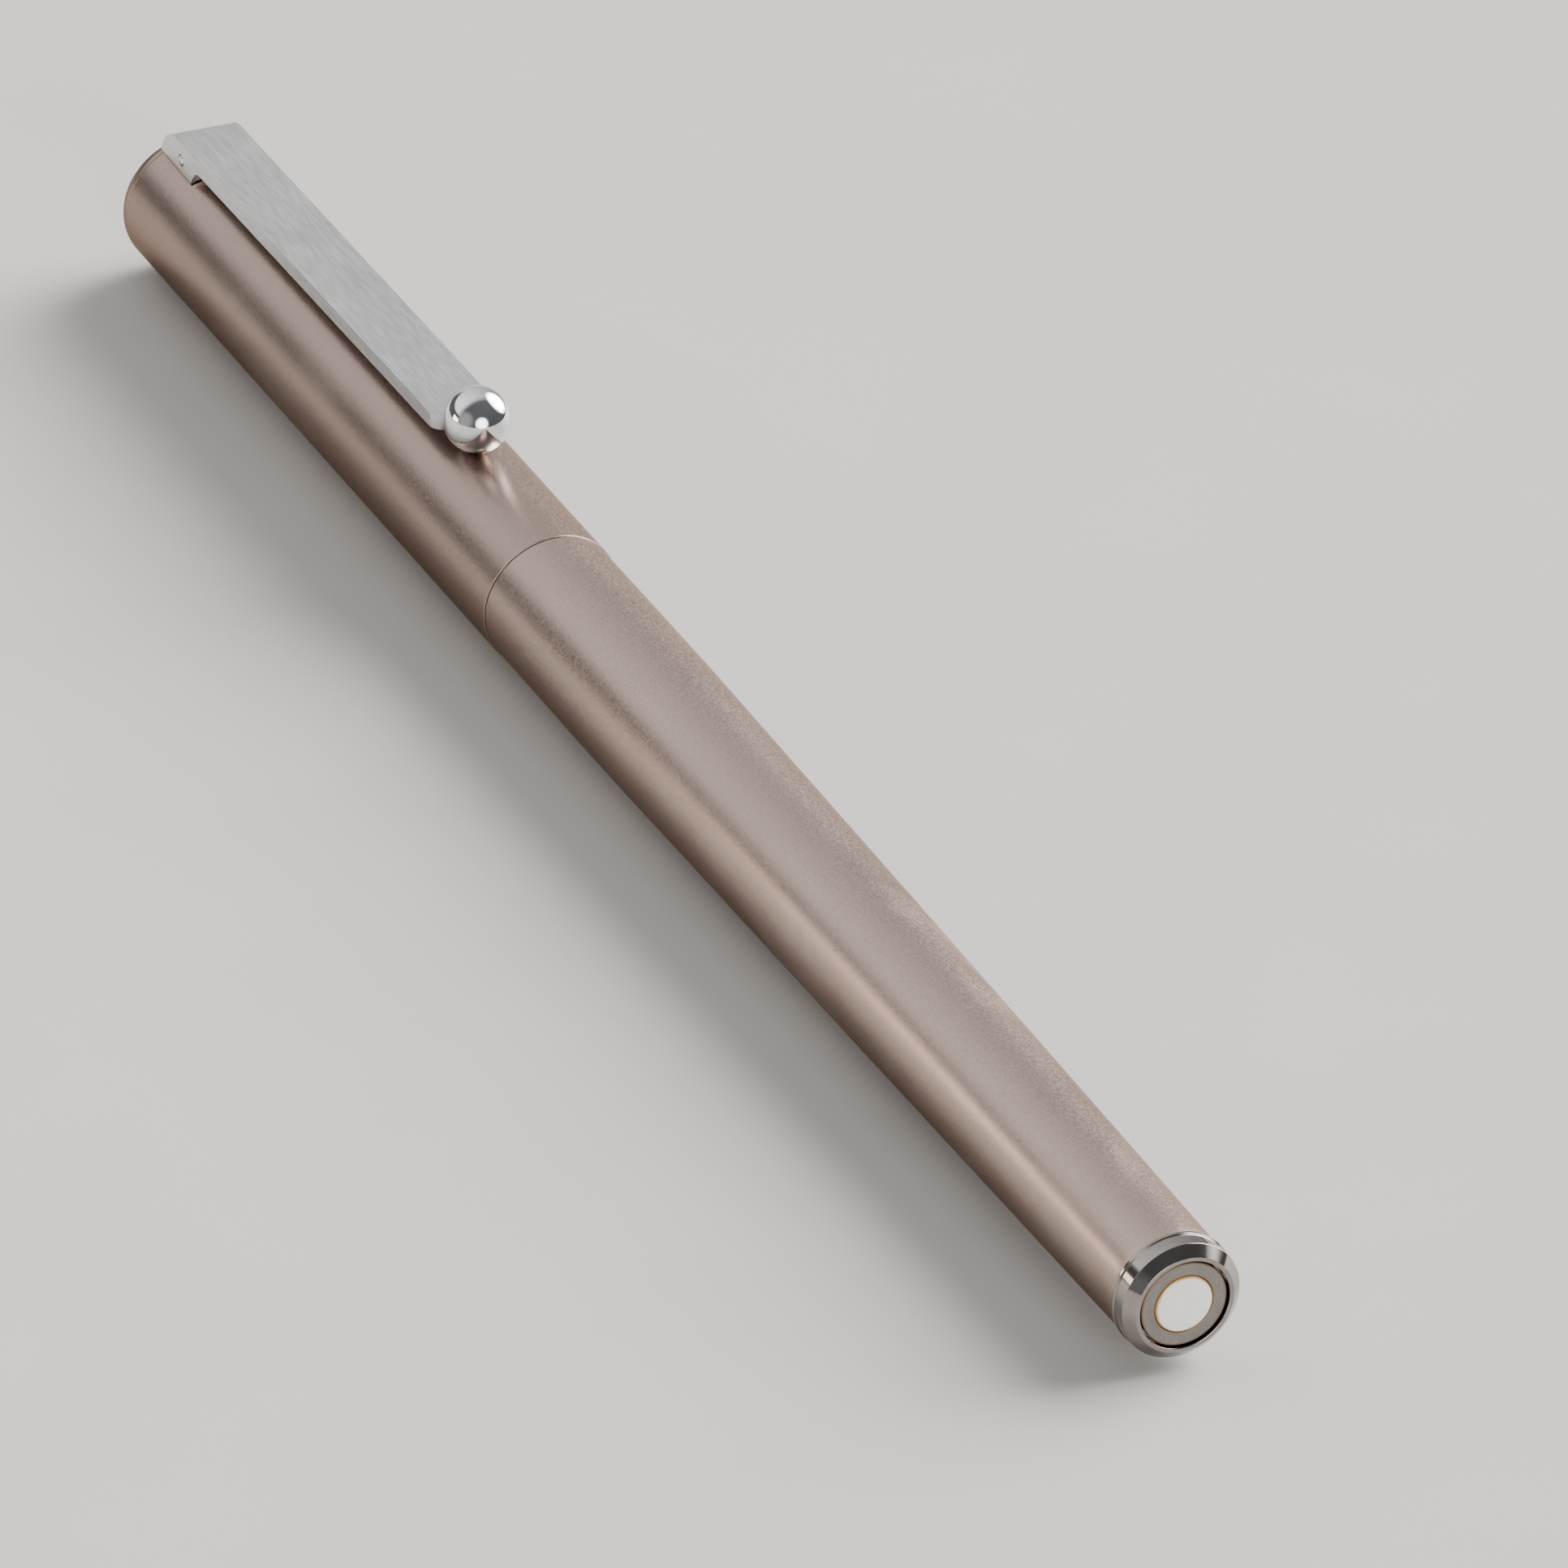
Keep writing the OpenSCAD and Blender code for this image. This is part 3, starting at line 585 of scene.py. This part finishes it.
def build_thread():
    """Thread sleeve: a helical thread that runs out at both ends, on a plain core."""
    core, crest, pitch, turns = 3.30, 3.56, 0.75, 6
    x0 = x_lip + 0.9
    xa, xb = x_lip + 0.26, x0 + turns * pitch + 0.65
    na, nx = 120, 128
    rows = []
    xs = np.linspace(xa, xb - 0.15, nx)
    verts, faces = [], []
    for i, x in enumerate(xs):
        row = []
        for k in range(na):
            th = 2 * math.pi * k / na
            a = math.pi - th
            f = (x - x0) / pitch - a / (2 * math.pi)
            d = abs(f - round(f)) * pitch
            h = min(1.0, max(0.0, (0.20 - d) / 0.12))
            run = min(1.0, max(0.0, (x - x0 + 0.15) / 0.5)) * min(1.0, max(0.0, (x0 + turns * pitch + 0.2 - x) / 0.5))
            r = core + (crest - core) * h * run
            row.append(len(verts))
            verts.append((x * MM, r * math.sin(th) * MM, (axis_z + r * math.cos(th)) * MM))
        rows.append(row)
    for r, x in ((core - 0.15, xb), (3.05, xb), (3.05, xa)):
        row = []
        for k in range(na):
            th = 2 * math.pi * k / na
            row.append(len(verts))
            verts.append((x * MM, r * math.sin(th) * MM, (axis_z + r * math.cos(th)) * MM))
        rows.append(row)
    for j in range(len(rows)):
        a, b = rows[j], rows[(j + 1) % len(rows)]
        for k in range(na):
            w = (k + 1) % na
            faces.append((a[w], a[k], b[k], b[w]))
    mesh = bpy.data.meshes.new("thread_sleeve")
    mesh.from_pydata(verts, [], faces)
    bm = bmesh.new()
    bm.from_mesh(mesh)
    bmesh.ops.recalc_face_normals(bm, faces=bm.faces)
    bm.to_mesh(mesh)
    bm.free()
    mesh.shade_smooth()
    mesh.set_sharp_from_angle(angle=math.radians(38))
    return new_object("thread_sleeve", mesh, brass)


add(build_thread(), "section", "raw_brass", "section_thread_sleeve")


def build_snap_ring():
    obj = lathe("spring_ring", [
        (3.35, x_lip - 6.25, 0.02), (3.6, x_lip - 6.25, 0.04), (3.68, x_lip - 6.1, 0.06), (3.68, x_lip - 5.7, 0.06), (3.6, x_lip - 5.55, 0.04), (3.35, x_lip - 5.55, 0.02)],
        bright_steel, 128)
    cut(obj, box_cutter((x_lip - 7, -0.5, axis_z - 5), (x_lip - 5, 0.5, axis_z - 2), bright_steel))
    return crisp(obj, 40)


add(build_snap_ring(), "snap_ring", "polished_steel", "snap_ring")

add(lathe("refill_point", [
    (0.13, x_ball + 5.4, 0), (1.12, x_ball + 5.4, 0.03), (1.12, x_ball + 2.8, 0.08), (0.62, x_ball + 1.9, 0.06), (0.58, x_ball + 1.3, 0.05), (ball_r + 0.08, x_ball - 0.12, 0.02),
    (ball_r - 0.03, x_ball - 0.10, 0.01), (ball_r + 0.02, x_ball, "s"), (ball_r - 0.04, x_ball + 0.18, "s"), (0.13, x_ball + 0.36, 0)],
    bright_steel, 96), "refill", "polished_steel", "refill_tip")


def build_ball():
    bm = bmesh.new()
    bmesh.ops.create_icosphere(bm, subdivisions=4, radius=ball_r * MM)
    for v in bm.verts:
        v.co = v.co.normalized() * ball_r * MM * (1 + 0.002 * math.sin(9 * v.co.x / ball_r / MM)) + Vector((x_ball * MM, 0, axis_z * MM))
    for f in bm.faces:
        f.smooth = True
    return bm_object("point_ball", bm, chrome)


add(build_ball(), "writing_ball", "polished_steel", "writing_ball")

# ------------------------------------------------------------------ CAD nodes that stay, with better materials
keep = {
    "crown_stud": brass, "clip_bracket": clip_satin, "clip_spring": spring_wire, "inner_cap": black_in, "cap_seal": rubber, "cap_snap_bush": black_in,
    "barrel_thread_bush": brass, "spring_seat": black_in, "refill_spring": spring_wire, "refill_tube": aluminium, "refill_tail_plug": pale_plastic,
    "refill_reservoir": fibre, "refill_feed": fibre, "refill_nose": black_in}
for name, material in keep.items():
    mesh = nodes[name].data
    mesh.materials.clear()
    mesh.materials.append(material)

# ------------------------------------------------------------------ floor
bm = bmesh.new()
bmesh.ops.create_grid(bm, x_segments=48, y_segments=48, size=4.0)
floor_mat = Mat("pale_floor", Specular_IOR_Level=0.25)
f = floor_mat
f.to("Base Color", f.mix(f.ramp(f.noise(60.0, 3.0, 0.5), 0.3, 0.7), (0.505, 0.495, 0.482), (0.52, 0.51, 0.497)))
f.to("Roughness", f.ramp(f.noise(90.0, 2.0, 0.5), 0.3, 0.7, 0.60, 0.68))
floor = bm_object("floor", bm, f.m)

# ------------------------------------------------------------------ studio light: a soft dome with broad panels
world = bpy.data.worlds.new("studio")
scene.world = world
world.use_nodes = True
wt = world.node_tree
wt.nodes.clear()


def wn(kind, inputs=None, **props):
    n = wt.nodes.new("ShaderNode" + kind)
    for k, v in props.items():
        setattr(n, k, v)
    for k, v in (inputs or {}).items():
        if isinstance(v, bpy.types.NodeSocket):
            wt.links.new(v, n.inputs[k])
        else:
            n.inputs[k].default_value = v
    return n


def wm(op, a, b=0.0, c=None):
    ins = {0: a, 1: b}
    if c is not None:
        ins[2] = c
    return wn("Math", ins, operation=op).outputs[0]


def wramp(v, a, b, lo_=0.0, hi_=1.0):
    return wn("MapRange", {"Value": v, "From Min": a, "From Max": b, "To Min": lo_, "To Max": hi_}, interpolation_type="SMOOTHSTEP").outputs["Result"]


direction = wn("TexCoord").outputs["Generated"]
xyz = wn("SeparateXYZ", {"Vector": direction}).outputs
dx, dy, dz = xyz["X"], xyz["Y"], xyz["Z"]


def dot(v):
    v = Vector(v).normalized()
    return wn("VectorMath", {0: direction, 1: tuple(v)}, operation="DOT_PRODUCT").outputs["Value"]


def lobe(v, inner, outer):
    """1 inside inner degrees of direction v, falling to 0 at outer degrees."""
    return wramp(dot(v), math.cos(math.radians(outer)), math.cos(math.radians(inner)))


def scaled(mask, k):
    return wm("MULTIPLY", mask, k)


def tinted(mask, colour):
    n = wn("Mix", {"Factor": mask}, data_type="RGBA")
    n.clamp_factor = False
    n.inputs[6].default_value = (0, 0, 0, 1)
    n.inputs[7].default_value = (*colour, 1)
    return n.outputs[2]


def total(*colours):
    out = colours[0]
    for c in colours[1:]:
        n = wn("Mix", {"Factor": 1.0}, data_type="RGBA", blend_type="ADD")
        wt.links.new(out, n.inputs[6])
        wt.links.new(c, n.inputs[7])
        out = n.outputs[2]
    return out


up = wramp(dz, -0.02, 0.25)
# broad panel over the cap's end of the pen: its lower edge gives the line along the barrel
left_edge = wramp(dz, 0.315, 0.375)
right_edge = wramp(dy, -0.10, 0.15)
low = wm("MAXIMUM", left_edge, wm("MULTIPLY", right_edge, wramp(dz, -0.02, 0.10)))
panel = wm("MULTIPLY", low, wramp(dx, 0.05, -0.35))
panel = wm("MULTIPLY", panel, wn("MapRange", {"Value": dy, "From Min": -0.5, "From Max": 0.65, "To Min": 1.10, "To Max": 0.32}).outputs["Result"])
key = lobe((-0.14, 0.84, 0.53), 12, 31)
fill = lobe((0.95, -0.16, 0.24), 9, 24)
front = lobe((0.35, -0.92, 0.30), 8, 34)
dome = wramp(dz, 0.0, 0.9, 0.13, 0.17)
sky = total(
    tinted(scaled(panel, 1.30), (1.0, 0.985, 0.96)),
    tinted(scaled(key, 20.0), (1.0, 0.975, 0.94)),
    tinted(scaled(fill, 6.5), (1.0, 0.98, 0.95)),
    tinted(scaled(front, 0.35), (0.95, 0.97, 1.0)),
    tinted(dome, (0.93, 0.96, 1.0)))
back = wn("Background", {"Color": sky, "Strength": 1.0})
wt.links.new(back.outputs[0], wn("OutputWorld").inputs["Surface"])


def area(name, at, to, size, power, colour):
    d = bpy.data.lights.new(name, "AREA")
    d.shape, d.size, d.size_y = "RECTANGLE", size[0], size[1]
    d.energy, d.color = power, colour
    o = bpy.data.objects.new(name, d)
    scene.collection.objects.link(o)
    o.location = at
    o.rotation_mode = "QUATERNION"
    o.rotation_quaternion = (Vector(to) - Vector(at)).to_track_quat("-Z", "Y")
    return o


area("low_strip", (-0.052, -0.105, 0.022), (0.056, 0, 0.005), (0.05, 0.02), 0.02, (1.0, 0.84, 0.72))

# ------------------------------------------------------------------ camera
az, el, roll = math.radians(-26.912), math.radians(30.260), math.radians(3.060)
cvec = Vector((math.cos(el) * math.cos(az), math.cos(el) * math.sin(az), math.sin(el)))
look = -cvec
right = look.cross(Vector((0, 0, 1))).normalized()
upv = right.cross(look)
rr = right * math.cos(roll) + upv * math.sin(roll)
uu = -right * math.sin(roll) + upv * math.cos(roll)
target = Vector((4.521, 5.617, 1.947)) * MM
cam_data = bpy.data.cameras.new("camera")
cam = bpy.data.objects.new("camera", cam_data)
scene.collection.objects.link(cam)
cam_data.sensor_width = 36.0
cam_data.lens = 31600.0 / 1932.0 * 36.0
cam_data.clip_start, cam_data.clip_end = 0.1, 12.0
rot = Matrix((rr, uu, cvec)).transposed()
cam.matrix_world = Matrix.Translation(target + cvec * 1.5) @ rot.to_4x4()
scene.camera = cam

# ------------------------------------------------------------------ update the scene
bpy.context.view_layer.update()
